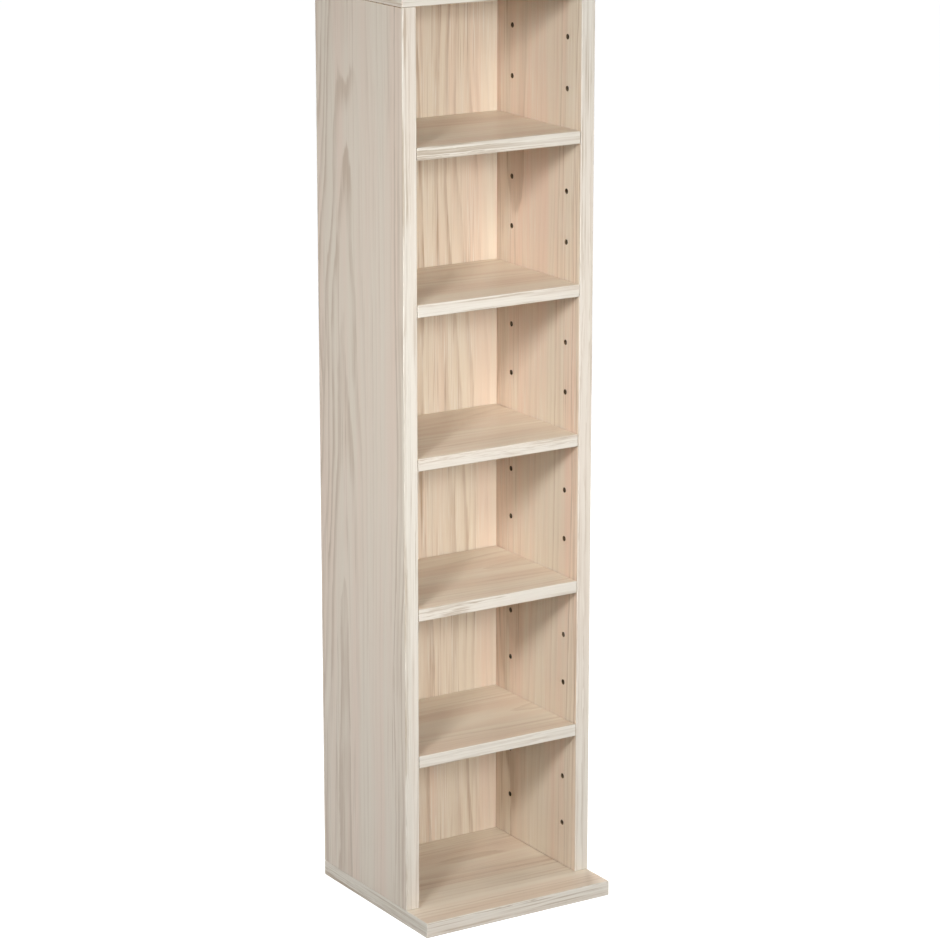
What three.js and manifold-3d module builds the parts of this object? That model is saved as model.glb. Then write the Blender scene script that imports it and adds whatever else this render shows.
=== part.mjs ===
// A tall narrow storage tower for disc cases: an open carcase of coated boards on a projecting
// base board, with adjustable shelves lying on steel pins.
// Millimetres, +Z up, the open front faces -Y, and X = 0 is the middle of the width.
// The origin is on the floor, under the middle of the base board.
import * as THREE from 'three';
import { mergeVertices } from 'three/addons/utils/BufferGeometryUtils.js';
import Module from 'manifold-3d';

// Driving dimensions of the carcase
const TOWER_WIDTH = 210;
const TOWER_HEIGHT = 900;
const SIDE_DEPTH = 159; // the side panels and the top board, front edge to rear edge
const BASE_OVERHANG = 38; // the base board in front of the side panels
const BOARD_THICKNESS = 15; // side panels, top board and base board
const ARRIS_RADIUS = 0.8; // the eased long edges of every board
const BUTT_GAP = 0.1; // between the end of a side panel and the board it meets

// Thin back panel, held in grooves on all four sides
const BACK_THICKNESS = 3;
const BACK_SETBACK = 9; // from the rear edges of the side panels to the panel's rear face
const BACK_ARRIS = 0.3;
const GROOVE_DEPTH = 5;
const GROOVE_PLAY = 0.15; // on each face of the back panel
const GROOVE_END_PLAY = 0.5; // at each edge of the back panel

// Shelves
const SHELF_COUNT = 5;
const SHELF_THICKNESS = 12;
const SHELF_SIDE_PLAY = 0.5; // at each end
const SHELF_BACK_PLAY = 0.5;
const SHELF_SEAT_GAP = 0.1; // over the flats of its pins

// Columns of peg holes in the inner face of each side panel
const PEG_HOLE_DIAMETER = 5;
const PEG_HOLE_PITCH = 48.9;
const FIRST_HOLE_HEIGHT = 44.5; // above the base board
const LAST_HOLE_MARGIN = 40; // the least height left under the top board
const FRONT_COLUMN_INSET = 24; // behind the front edge
const REAR_COLUMN_INSET = 27; // in front of the back panel
const BLIND_DEPTH_SHARE = 2 / 3; // of the board's thickness, for every blind hole in a board's face

// Shelf pin: a steel pin with a collar, milled flat on top where the shelf lies
const PIN_PLAY = 0.15; // round the pin in its hole
const PIN_END_PLAY = 0.8; // at the bottom of the hole
const PIN_REACH = 8; // out of the side panel
const PIN_CHAMFER = 0.5;
const COLLAR_DIAMETER = 6.6;
const COLLAR_THICKNESS = 0.8;
const COLLAR_GAP = 0.1; // between the collar and the side panel

// Connecting screws through the top board and the base board into the ends of the side panels
const SCREW_LENGTH = 50;
const SCREW_HEAD_DIAMETER = 10;
const SCREW_HEAD_HEIGHT = 3;
const SCREW_NECK_DIAMETER = 7;
const SCREW_NECK_END = 14.5; // from the face of the head
const SCREW_CORE_DIAMETER = 5;
const SCREW_TIP_DIAMETER = 2.5;
const SCREW_TIP_LENGTH = 3;
const SCREW_PLAY = 0.15;
const SCREW_SINK = 0.3; // the face of a bare head below the face of the board
const SCREW_INSET = 30; // from the front and rear edges of a side panel
const SOCKET_ACROSS_FLATS = 4;
const SOCKET_DEPTH = 3;

// Covers let in over the screw heads, flush with the top board, so that its face stays flat
const CAP_DIAMETER = 12;
const CAP_THICKNESS = 1.4;
const CAP_ARRIS = 0.3;
const CAP_SINK = 0.05; // below the face of the board
const CAP_PLAY = 0.15; // round its edge
const CAP_GAP = 0.1; // over the head of the screw
const CAP_STEM_DIAMETER = 3.2;
const CAP_STEM_LENGTH = 2.4;

// Fluted dowels that line each side panel up with the top board and the base board
const DOWEL_DIAMETER = 8;
const DOWEL_LENGTH = 30;
const DOWEL_FLUTE_DEPTH = 0.3;
const DOWEL_CHAMFER = 1;
const DOWEL_PLAY = 0.15;
const DOWEL_END_PLAY = 0.4;
const DOWEL_SHARES = [1 / 3, 2 / 3]; // of the distance between the two screws of a joint

// Numbers of facets and flutes
const ARRIS_SEGMENTS = 2;
const HOLE_FACETS = 12;
const SCREW_FACETS = 16;
const SOCKET_SIDES = 6;
const DOWEL_FLUTES = 10;

const CUT_OVERRUN = 2; // how far a cutter runs past the face it opens

// Places worked out from the driving dimensions
const baseDepth = SIDE_DEPTH + BASE_OVERHANG;
const rearY = baseDepth / 2;
const frontY = rearY - SIDE_DEPTH;
const backFaceY = rearY - BACK_SETBACK - BACK_THICKNESS;
const insideWidth = TOWER_WIDTH - 2 * BOARD_THICKNESS;
const baseTopZ = BOARD_THICKNESS;
const topUndersideZ = TOWER_HEIGHT - BOARD_THICKNESS;
const insideHeight = topUndersideZ - baseTopZ;
const insideMiddleZ = (baseTopZ + topUndersideZ) / 2;
const sideMiddleX = (TOWER_WIDTH - BOARD_THICKNESS) / 2;
const blindDepth = BOARD_THICKNESS * BLIND_DEPTH_SHARE;

const holeRoom = insideHeight - FIRST_HOLE_HEIGHT - LAST_HOLE_MARGIN;
const holesPerColumn = Math.floor(holeRoom / PEG_HOLE_PITCH) + 1;
const holeHeight = (index) => baseTopZ + FIRST_HOLE_HEIGHT + index * PEG_HOLE_PITCH;
const columns = [
  { name: 'front', y: frontY + FRONT_COLUMN_INSET },
  { name: 'rear', y: backFaceY - REAR_COLUMN_INSET },
];
const sides = [
  { name: 'left', sign: -1 },
  { name: 'right', sign: 1 },
];

// The shelves share the holes out evenly: shelf 1 is the lowest
const shelfHole = (shelf) => Math.round((shelf * (holesPerColumn + 1)) / (SHELF_COUNT + 1)) - 1;

// Screws stand at the ends of each joint, dowels between them
const screwPlaces = [
  { name: 'front', y: frontY + SCREW_INSET },
  { name: 'rear', y: rearY - SCREW_INSET },
];
const screwSpan = screwPlaces[1].y - screwPlaces[0].y;
const dowelPlaces = screwPlaces.map(({ name }, i) => ({
  name,
  y: screwPlaces[0].y + screwSpan * DOWEL_SHARES[i],
}));

// The two joints of a side panel. `up` is the way out through the board that covers its end,
// and the screw's head lies `headDepth` below that board's face, in a mouth of `mouthRadius`.
const joints = [
  {
    name: 'top',
    faceZ: TOWER_HEIGHT,
    buttZ: topUndersideZ,
    up: 1,
    headDepth: CAP_SINK + CAP_THICKNESS + CAP_GAP,
    mouthRadius: CAP_DIAMETER / 2 + CAP_PLAY,
  },
  {
    name: 'base',
    faceZ: 0,
    buttZ: baseTopZ,
    up: -1,
    headDepth: SCREW_SINK,
    mouthRadius: SCREW_HEAD_DIAMETER / 2 + SCREW_PLAY,
  },
];

const wasm = await Module();
wasm.setup();

/** A closed solid, for cutting, made from a three.js geometry. */
function toSolid(geometry) {
  geometry.deleteAttribute('normal');
  geometry.deleteAttribute('uv');
  const merged = mergeVertices(geometry);
  const corners = merged.index.array;
  const triangles = [];
  for (let i = 0; i < corners.length; i += 3) {
    const [a, b, c] = corners.slice(i, i + 3);
    if (a !== b && b !== c && c !== a) {
      triangles.push(a, b, c);
    }
  }
  return new wasm.Manifold(new wasm.Mesh({
    numProp: 3,
    vertProperties: merged.attributes.position.array,
    triVerts: new Uint32Array(triangles),
  }));
}

/** The three.js geometry of a solid. */
function toGeometry(solid) {
  const { vertProperties, triVerts } = solid.getMesh();
  const geometry = new THREE.BufferGeometry();
  geometry.setAttribute('position', new THREE.BufferAttribute(vertProperties, 3));
  geometry.setIndex(new THREE.BufferAttribute(triVerts, 1));
  return geometry;
}

/** A board of the given width, depth and height, centred, its arrises eased on both faces.
 * `axes` are the tower's axes for the outline's width, its height and the board's thickness. */
function board(size, axes, arris) {
  const [across, along, thick] = axes.map((axis) => size[axis]);
  const outline = new THREE.Shape([
    new THREE.Vector2(-across / 2, -along / 2),
    new THREE.Vector2(across / 2, -along / 2),
    new THREE.Vector2(across / 2, along / 2),
    new THREE.Vector2(-across / 2, along / 2),
  ]);
  const geometry = new THREE.ExtrudeGeometry(outline, {
    depth: thick - 2 * arris,
    bevelEnabled: true,
    bevelThickness: arris,
    bevelSize: arris,
    bevelOffset: -arris,
    bevelSegments: ARRIS_SEGMENTS,
    steps: 1,
  });
  geometry.translate(0, 0, arris - thick / 2);
  const [right, up, out] = axes.map((axis) => new THREE.Vector3().setComponent('xyz'.indexOf(axis), 1));
  return geometry.applyMatrix4(new THREE.Matrix4().makeBasis(right, up, out));
}

/** A solid turned round +Z from [radius, height] points that run from the bottom to the top. */
function turned(points, facets) {
  const profile = points.map(([radius, height]) => new THREE.Vector2(radius, height));
  return new THREE.LatheGeometry(profile, facets).rotateX(Math.PI / 2);
}

/** A mesh in its own material. */
function piece(name, geometry, finish, position) {
  const mesh = new THREE.Mesh(geometry, new THREE.MeshStandardMaterial({ ...finish, flatShading: true }));
  mesh.name = name;
  mesh.position.copy(position);
  return mesh;
}

const decorBoard = { color: '#d9cab4', roughness: 0.55, metalness: 0 };
const decorHardboard = { color: '#dcc6a8', roughness: 0.6, metalness: 0 };
const nickelSteel = { color: '#b9b9b6', roughness: 0.3, metalness: 1 };
const zincSteel = { color: '#a9adb0', roughness: 0.4, metalness: 1 };
const beech = { color: '#c79f6e', roughness: 0.7, metalness: 0 };
const creamPlastic = { color: '#ddd0bb', roughness: 0.5, metalness: 0 };

/** The screw's outline from its tip to the face of its head at height zero, wider by `play`. */
function screwOutline(play) {
  return [
    [0, -SCREW_LENGTH - play],
    [SCREW_TIP_DIAMETER / 2 + play, -SCREW_LENGTH - play],
    [SCREW_CORE_DIAMETER / 2 + play, -SCREW_LENGTH + SCREW_TIP_LENGTH],
    [SCREW_CORE_DIAMETER / 2 + play, -SCREW_NECK_END - play],
    [SCREW_NECK_DIAMETER / 2 + play, -SCREW_NECK_END - play],
    [SCREW_NECK_DIAMETER / 2 + play, -SCREW_HEAD_HEIGHT],
    [SCREW_HEAD_DIAMETER / 2 + play, 0],
  ];
}

/** A connecting screw, its head up, with a hexagon socket. */
function screwGeometry() {
  const body = toSolid(turned([...screwOutline(0), [0, 0]], SCREW_FACETS));
  const socketRadius = SOCKET_ACROSS_FLATS / 2 / Math.cos(Math.PI / SOCKET_SIDES);
  const socketHeight = SOCKET_DEPTH + CUT_OVERRUN;
  const socket = new THREE.CylinderGeometry(socketRadius, socketRadius, socketHeight, SOCKET_SIDES);
  socket.rotateX(Math.PI / 2);
  socket.translate(0, 0, socketHeight / 2 - SOCKET_DEPTH);
  return toGeometry(body.subtract(toSolid(socket)));
}

/** Where a joint's screw stands: the middle of the side panel's thickness, sunk in the face. */
function screwPosition(side, joint, place) {
  return new THREE.Vector3(side.sign * sideMiddleX, place.y, joint.faceZ - joint.up * joint.headDepth);
}

/** The countersunk hole that a joint's screw passes and bites into, in the tower's frame. */
function screwHole(side, joint, place) {
  const outline = screwOutline(SCREW_PLAY);
  const rim = joint.headDepth + CUT_OVERRUN;
  const mouth = [[joint.mouthRadius, 0], [joint.mouthRadius, rim], [0, rim]];
  const cutter = turned([...outline, ...mouth], SCREW_FACETS);
  if (joint.up < 0) {
    cutter.rotateX(Math.PI);
  }
  return toSolid(cutter.translate(...screwPosition(side, joint, place)));
}

/** A beech dowel, fluted along its length and chamfered at both ends, centred on the origin. */
function dowelGeometry() {
  const rim = [];
  for (let i = 0; i < 2 * DOWEL_FLUTES; i += 1) {
    const radius = DOWEL_DIAMETER / 2 - (i % 2) * DOWEL_FLUTE_DEPTH;
    const angle = (i * Math.PI) / DOWEL_FLUTES;
    rim.push(new THREE.Vector2(radius * Math.cos(angle), radius * Math.sin(angle)));
  }
  const geometry = new THREE.ExtrudeGeometry(new THREE.Shape(rim), {
    depth: DOWEL_LENGTH - 2 * DOWEL_CHAMFER,
    bevelEnabled: true,
    bevelThickness: DOWEL_CHAMFER,
    bevelSize: DOWEL_CHAMFER,
    bevelOffset: -DOWEL_CHAMFER,
    bevelSegments: 1,
    steps: 1,
  });
  return geometry.translate(0, 0, DOWEL_CHAMFER - DOWEL_LENGTH / 2);
}

/** The middle of a joint's dowel, which goes into the covering board as deep as a blind hole. */
function dowelPosition(side, joint, place) {
  const reach = blindDepth - DOWEL_END_PLAY;
  const z = joint.buttZ + joint.up * (reach - DOWEL_LENGTH / 2);
  return new THREE.Vector3(side.sign * sideMiddleX, place.y, z);
}

/** The hole for a joint's dowel, through the butt of both boards, in the tower's frame. */
function dowelHole(side, joint, place) {
  const radius = DOWEL_DIAMETER / 2 + DOWEL_PLAY;
  const cutter = new THREE.CylinderGeometry(
    radius, radius, DOWEL_LENGTH + 2 * DOWEL_END_PLAY, SCREW_FACETS,
  ).rotateX(Math.PI / 2);
  return toSolid(cutter.translate(...dowelPosition(side, joint, place)));
}

/** Every fastener hole of the joint between one side panel and one covering board. */
function jointHoles(side, joint) {
  return [
    ...screwPlaces.map((place) => screwHole(side, joint, place)),
    ...dowelPlaces.map((place) => dowelHole(side, joint, place)),
  ];
}

/** A blind hole for a shelf pin, drilled from the inner face of a side panel. */
function pegHole(side, y, z) {
  const radius = PEG_HOLE_DIAMETER / 2;
  const length = blindDepth + CUT_OVERRUN;
  const cutter = new THREE.CylinderGeometry(radius, radius, length, HOLE_FACETS).rotateZ(Math.PI / 2);
  const middleX = insideWidth / 2 - CUT_OVERRUN + length / 2;
  return toSolid(cutter.translate(side.sign * middleX, y, z));
}

/** The space that the back panel's grooves take up, as wide and tall as all four together. */
function grooveSpace() {
  const box = new THREE.BoxGeometry(
    insideWidth + 2 * GROOVE_DEPTH,
    BACK_THICKNESS + 2 * GROOVE_PLAY,
    insideHeight + 2 * GROOVE_DEPTH,
  );
  return toSolid(box.translate(0, backFaceY + BACK_THICKNESS / 2, insideMiddleZ));
}

/** A board at its place in the tower, with the cutters, given in the tower's frame, taken out. */
function machinedBoard(name, size, axes, centre, cutters) {
  let solid = toSolid(board(size, axes, ARRIS_RADIUS));
  for (const cutter of cutters) {
    solid = solid.subtract(cutter.translate([-centre.x, -centre.y, -centre.z]));
  }
  return piece(name, toGeometry(solid), decorBoard, centre);
}

/** A side panel, standing on the base board, with its peg holes, fastener holes and groove. */
function sidePanel(side) {
  const pegHoles = columns.flatMap(({ y }) => (
    Array.from({ length: holesPerColumn }, (_, i) => pegHole(side, y, holeHeight(i)))
  ));
  const size = { x: BOARD_THICKNESS, y: SIDE_DEPTH, z: insideHeight - 2 * BUTT_GAP };
  const centre = new THREE.Vector3(side.sign * sideMiddleX, (frontY + rearY) / 2, insideMiddleZ);
  const holes = joints.flatMap((joint) => jointHoles(side, joint));
  const cutters = [...pegHoles, ...holes, grooveSpace()];
  return machinedBoard(`side_panel_${side.name}`, size, ['y', 'z', 'x'], centre, cutters);
}

/** The board that covers the side panels' ends at one joint. */
function coveringBoard(name, joint, depth) {
  const size = { x: TOWER_WIDTH, y: depth, z: BOARD_THICKNESS };
  const centre = new THREE.Vector3(0, rearY - depth / 2, (joint.faceZ + joint.buttZ) / 2);
  const cutters = [...sides.flatMap((side) => jointHoles(side, joint)), grooveSpace()];
  return machinedBoard(name, size, ['x', 'y', 'z'], centre, cutters);
}

/** The thin back panel, which reaches into its grooves on all four sides. */
function backPanel() {
  const reach = 2 * (GROOVE_DEPTH - GROOVE_END_PLAY);
  const size = { x: insideWidth + reach, y: BACK_THICKNESS, z: insideHeight + reach };
  const centre = new THREE.Vector3(0, backFaceY + BACK_THICKNESS / 2, insideMiddleZ);
  return piece('back_panel', board(size, ['z', 'x', 'y'], BACK_ARRIS), decorHardboard, centre);
}

/** A loose shelf, its front flush with the side panels, on the flats of its four pins. */
function shelf(number) {
  const depth = backFaceY - SHELF_BACK_PLAY - frontY;
  const size = { x: insideWidth - 2 * SHELF_SIDE_PLAY, y: depth, z: SHELF_THICKNESS };
  const bottomZ = holeHeight(shelfHole(number)) + SHELF_SEAT_GAP;
  const centre = new THREE.Vector3(0, frontY + depth / 2, bottomZ + SHELF_THICKNESS / 2);
  return piece(`shelf_${number}`, board(size, ['x', 'y', 'z'], ARRIS_RADIUS), decorBoard, centre);
}

/** A shelf pin along +X, the side panel's inner face at x = 0, milled flat on top outside it. */
function pinGeometry() {
  const radius = PEG_HOLE_DIAMETER / 2 - PIN_PLAY;
  const root = PIN_END_PLAY - blindDepth;
  const collarEnd = COLLAR_GAP + COLLAR_THICKNESS;
  const body = turned([
    [0, root],
    [radius - PIN_CHAMFER, root],
    [radius, root + PIN_CHAMFER],
    [radius, COLLAR_GAP],
    [COLLAR_DIAMETER / 2, COLLAR_GAP],
    [COLLAR_DIAMETER / 2, collarEnd],
    [radius, collarEnd],
    [radius, PIN_REACH - PIN_CHAMFER],
    [radius - PIN_CHAMFER, PIN_REACH],
    [0, PIN_REACH],
  ], HOLE_FACETS);
  const flat = new THREE.BoxGeometry(PIN_REACH + CUT_OVERRUN, COLLAR_DIAMETER, COLLAR_DIAMETER);
  flat.translate(COLLAR_GAP + (PIN_REACH + CUT_OVERRUN) / 2, 0, COLLAR_DIAMETER / 2);
  return toGeometry(toSolid(body.rotateY(Math.PI / 2)).subtract(toSolid(flat)));
}

/** The four pins of a shelf, two in each side panel, as one group. */
function shelfPins(number) {
  const pins = new THREE.Group();
  const z = holeHeight(shelfHole(number));
  for (const side of sides) {
    for (const column of columns) {
      const place = new THREE.Vector3((side.sign * insideWidth) / 2, column.y, z);
      const name = `pin_shelf_${number}_${side.name}_${column.name}`;
      const pin = piece(name, pinGeometry(), nickelSteel, place);
      pin.rotation.z = side.sign > 0 ? Math.PI : 0;
      pins.add(pin);
    }
  }
  return pins;
}

/** A push-in cover for a screw head, its underside at height zero, its stem in the socket. */
function capGeometry() {
  const radius = CAP_DIAMETER / 2;
  return toGeometry(toSolid(turned([
    [0, -CAP_STEM_LENGTH],
    [CAP_STEM_DIAMETER / 2, -CAP_STEM_LENGTH],
    [CAP_STEM_DIAMETER / 2, 0],
    [radius, 0],
    [radius, CAP_THICKNESS - CAP_ARRIS],
    [radius - CAP_ARRIS, CAP_THICKNESS],
    [0, CAP_THICKNESS],
  ], SCREW_FACETS)));
}

/** The screws, dowels and, on top, the screw covers of one joint. */
function jointFittings(side, joint) {
  const fittings = new THREE.Group();
  for (const place of screwPlaces) {
    const name = `${joint.name}_${side.name}_${place.name}`;
    const screw = piece(`screw_${name}`, screwGeometry(), zincSteel, screwPosition(side, joint, place));
    screw.rotation.x = joint.up > 0 ? 0 : Math.PI;
    fittings.add(screw);
    if (joint.up > 0) {
      const overHead = screw.position.clone().setZ(screw.position.z + CAP_GAP);
      fittings.add(piece(`cap_${side.name}_${place.name}`, capGeometry(), creamPlastic, overHead));
    }
  }
  for (const place of dowelPlaces) {
    const name = `dowel_${joint.name}_${side.name}_${place.name}`;
    fittings.add(piece(name, dowelGeometry(), beech, dowelPosition(side, joint, place)));
  }
  return fittings;
}

const tower = new THREE.Group();

const carcase = new THREE.Group();
carcase.add(coveringBoard('base_board', joints[1], baseDepth));
carcase.add(...sides.map(sidePanel));
carcase.add(coveringBoard('top_board', joints[0], SIDE_DEPTH));
carcase.add(backPanel());
tower.add(carcase);

for (const side of sides) {
  for (const joint of joints) {
    tower.add(jointFittings(side, joint));
  }
}

for (let number = 1; number <= SHELF_COUNT; number += 1) {
  tower.add(shelf(number));
  tower.add(shelfPins(number));
}

export default tower;
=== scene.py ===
"""The looks of a disc case tower: eased boards in a printed softwood decor with edge bands,
flat-milled shelf pins, screw covers and a small studio. Lengths are in metres, angles in degrees."""

import math

import bpy
from bpy.props import FloatProperty, FloatVectorProperty, IntProperty, PointerProperty
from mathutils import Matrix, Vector


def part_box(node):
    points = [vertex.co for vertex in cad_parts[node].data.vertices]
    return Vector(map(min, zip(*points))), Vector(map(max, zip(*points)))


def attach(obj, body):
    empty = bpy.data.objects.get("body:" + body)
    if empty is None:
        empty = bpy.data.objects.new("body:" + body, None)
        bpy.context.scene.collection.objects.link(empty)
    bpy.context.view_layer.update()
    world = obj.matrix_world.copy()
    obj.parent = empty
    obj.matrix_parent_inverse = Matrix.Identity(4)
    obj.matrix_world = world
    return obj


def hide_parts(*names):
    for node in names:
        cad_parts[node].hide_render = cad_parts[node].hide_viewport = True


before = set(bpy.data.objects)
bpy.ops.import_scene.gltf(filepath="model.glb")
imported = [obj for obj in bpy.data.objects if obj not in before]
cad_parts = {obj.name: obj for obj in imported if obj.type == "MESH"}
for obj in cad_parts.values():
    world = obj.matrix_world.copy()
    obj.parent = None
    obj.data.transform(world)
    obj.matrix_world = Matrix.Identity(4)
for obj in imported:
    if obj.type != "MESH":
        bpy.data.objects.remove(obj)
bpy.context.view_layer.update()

bl_info = {
    "name": "Disc case tower",
    "version": (1, 0, 0),
    "blender": (4, 5, 0),
    "location": "3D View > Sidebar > Tower",
    "description": "Models and finishes a disc case tower around its packed frame",
    "category": "Object",
}

BODY = "carcase"
SIDES = {"left": -1, "right": 1}
COLUMNS = ("front", "rear")
SHELVES = [f"shelf_{number}" for number in range(1, 6)]
HOLES_PER_STEP = 3

# How strongly each shelf's front band is printed, from the lowest shelf up
SHELF_BAND_FIGURES = (0.8, 1.4, 1.6, 2.4, 1.4)

# Small sizes inside the boxes of the CAD nodes
FASTENER_PLAY = 0.00015
SCREW_NECK_RADIUS = 0.0035
SCREW_CORE_RADIUS = 0.0025
SCREW_HEAD_HEIGHT = 0.003
SCREW_NECK_END = 0.0145
SHEET_ARRIS = 0.0003
PIN_CHAMFER = 0.0005
COLLAR_EDGE = 0.0001
COVER_THICKNESS = 0.0014
COVER_EDGE = 0.0003
COVER_STEM_RADIUS = 0.0016

# A face counts as facing along an axis from this share of its normal on
SQUARE_ON = 0.9

# The height about which the upright boards' figure is laid
FIGURE_HEIGHT = 0.45

# A Mix node's sockets for colours
MIX_FACTOR, MIX_FIRST, MIX_SECOND, MIX_RESULT = 0, 6, 7, 2


def box(node):
    """The lowest and highest corners of a CAD node."""
    low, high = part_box(node)
    return Vector(low), Vector(high)


SHELF_RISE = (box("shelf_2")[0].z - box("shelf_1")[0].z) / HOLES_PER_STEP
REAR_Y = box("side_panel_left")[1].y
INNER_X = box("side_panel_right")[0].x
BACK_LOW, BACK_HIGH = box("back_panel")


# Sizes and colours that a user would change

class TowerSizes(bpy.types.PropertyGroup):
    """Sizes of the tower's visible detail"""

    arris: FloatProperty(
        name="Arris radius",
        description="Radius of the eased edges of the boards",
        default=0.0008,
        unit="LENGTH",
    )
    peg_radius: FloatProperty(
        name="Peg hole radius",
        description="Radius of the blind holes for shelf pins",
        default=0.0025,
        unit="LENGTH",
    )
    peg_depth: FloatProperty(
        name="Peg hole depth",
        description="Depth of the blind holes for shelf pins",
        default=0.010,
        unit="LENGTH",
    )
    peg_pitch: FloatProperty(
        name="Peg hole pitch",
        description="Height from one peg hole to the next",
        default=SHELF_RISE,
        unit="LENGTH",
    )
    peg_count: IntProperty(
        name="Peg holes in a column",
        description="Number of peg holes in each column",
        default=17,
    )
    peg_chamfer: FloatProperty(
        name="Peg hole chamfer",
        description="Chamfer at the mouth of each peg hole",
        default=0.0002,
        unit="LENGTH",
    )
    seat_gap: FloatProperty(
        name="Shelf seat gap",
        description="Gap between a shelf and the flats of its pins",
        default=0.0001,
        unit="LENGTH",
    )
    groove_play: FloatProperty(
        name="Groove play",
        description="Play on each face of the back panel in its groove",
        default=0.00015,
        unit="LENGTH",
    )
    pin_radius: FloatProperty(
        name="Pin radius",
        description="Radius of a shelf pin",
        default=0.00235,
        unit="LENGTH",
    )
    collar_radius: FloatProperty(
        name="Collar radius",
        description="Radius of a shelf pin's collar",
        default=0.0033,
        unit="LENGTH",
    )
    collar_start: FloatProperty(
        name="Collar start",
        description="Distance from the side panel to the pin's collar",
        default=0.0001,
        unit="LENGTH",
    )
    collar_end: FloatProperty(
        name="Collar end",
        description="Distance from the side panel to the collar's outer face",
        default=0.0009,
        unit="LENGTH",
    )
    cap_radius: FloatProperty(
        name="Cover radius",
        description="Radius of a screw cover",
        default=0.006,
        unit="LENGTH",
    )
    ring_width: FloatProperty(
        name="Ring width",
        description="Width of a growth ring in the printed decor",
        default=0.0080,
        unit="LENGTH",
    )


class TowerColours(bpy.types.PropertyGroup):
    """Colours of the tower's finishes"""

    cream: FloatVectorProperty(
        name="Cream",
        description="Light wood between the growth rings",
        default=(0.790, 0.697, 0.562),
        subtype="COLOR",
    )
    tan: FloatVectorProperty(
        name="Tan",
        description="Dark late wood of the growth rings",
        default=(0.500, 0.355, 0.235),
        subtype="COLOR",
    )
    rose: FloatVectorProperty(
        name="Rose",
        description="Broad reddish drifts in the wood",
        default=(0.800, 0.600, 0.475),
        subtype="COLOR",
    )
    wash: FloatVectorProperty(
        name="Whitewash",
        description="Pale streaks left in the pores",
        default=(0.850, 0.790, 0.690),
        subtype="COLOR",
    )
    # Painted shade: a grey blended over the outer faces, dulling them as the cooler, less bounced light
    # outside does
    shade_veil: FloatVectorProperty(
        name="Veil",
        description="Pale grey that whitens the tower's outer faces",
        default=(0.615, 0.576, 0.534),
        subtype="COLOR",
    )
    band: FloatVectorProperty(
        name="Edge band",
        description="Light ground of the edge bands",
        default=(0.745, 0.700, 0.622),
        subtype="COLOR",
    )
    band_line: FloatVectorProperty(
        name="Edge band line",
        description="Lengthwise lines of the edge bands",
        default=(0.480, 0.400, 0.310),
        subtype="COLOR",
    )
    chip_light: FloatVectorProperty(
        name="Light chips",
        description="Light chips of the raw board",
        default=(0.560, 0.400, 0.250),
        subtype="COLOR",
    )
    chip_dark: FloatVectorProperty(
        name="Dark chips",
        description="Dark chips and glue of the raw board",
        default=(0.210, 0.125, 0.066),
        subtype="COLOR",
    )
    hardboard: FloatVectorProperty(
        name="Hardboard",
        description="Raw rear face of the back panel",
        default=(0.300, 0.175, 0.095),
        subtype="COLOR",
    )
    beech: FloatVectorProperty(
        name="Beech",
        description="Dowels",
        default=(0.620, 0.430, 0.260),
        subtype="COLOR",
    )
    nickel: FloatVectorProperty(
        name="Nickel",
        description="Shelf pins",
        default=(0.660, 0.640, 0.600),
        subtype="COLOR",
    )
    zinc: FloatVectorProperty(
        name="Zinc",
        description="Connecting screws",
        default=(0.560, 0.580, 0.600),
        subtype="COLOR",
    )
    plastic: FloatVectorProperty(
        name="Plastic",
        description="Screw covers",
        default=(0.780, 0.700, 0.590),
        subtype="COLOR",
    )


# Nodes

def add_node(tree, kind, inputs=None, **settings):
    """A node with its settings, and its inputs linked to sockets or set to plain values."""
    node = tree.nodes.new(kind)
    for key, value in settings.items():
        setattr(node, key, value)
    for key, value in (inputs or {}).items():
        if isinstance(value, bpy.types.NodeSocket):
            tree.links.new(value, node.inputs[key])
        else:
            node.inputs[key].default_value = value
    return node


def maths(tree, operation, *values):
    """The result of a Math node."""
    return add_node(tree, "ShaderNodeMath", dict(enumerate(values)), operation=operation).outputs[0]


def vector_maths(tree, operation, *values):
    """The vector that a Vector Math node gives."""
    inputs = dict(enumerate(values))
    return add_node(tree, "ShaderNodeVectorMath", inputs, operation=operation).outputs["Vector"]


def remap(tree, value, low, high, out_low=0.0, out_high=1.0):
    """A value eased from one range into another."""
    return add_node(
        tree,
        "ShaderNodeMapRange",
        {"Value": value, "From Min": low, "From Max": high, "To Min": out_low, "To Max": out_high},
        interpolation_type="SMOOTHSTEP",
    ).outputs["Result"]


def blend(tree, factor, first, second):
    """A colour between two colours, each a socket or three plain values."""
    first, second = (
        colour if isinstance(colour, bpy.types.NodeSocket) else (*colour, 1.0)
        for colour in (first, second)
    )
    inputs = {MIX_FACTOR: factor, MIX_FIRST: first, MIX_SECOND: second}
    return add_node(tree, "ShaderNodeMix", inputs, data_type="RGBA").outputs[MIX_RESULT]


def stretched(tree, place, scale, seed):
    """Coordinates scaled along each axis and moved by a seed."""
    moved = add_node(tree, "ShaderNodeCombineXYZ", {"X": seed, "Y": seed, "Z": seed}).outputs[0]
    return vector_maths(tree, "ADD", vector_maths(tree, "MULTIPLY", place, scale), moved)


def noise(tree, place, detail=2.0, roughness=0.5):
    """A soft noise node at unit scale, its values from 0 to 1."""
    return add_node(
        tree,
        "ShaderNodeTexNoise",
        {"Vector": place, "Scale": 1.0, "Detail": detail, "Roughness": roughness},
    )


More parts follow.
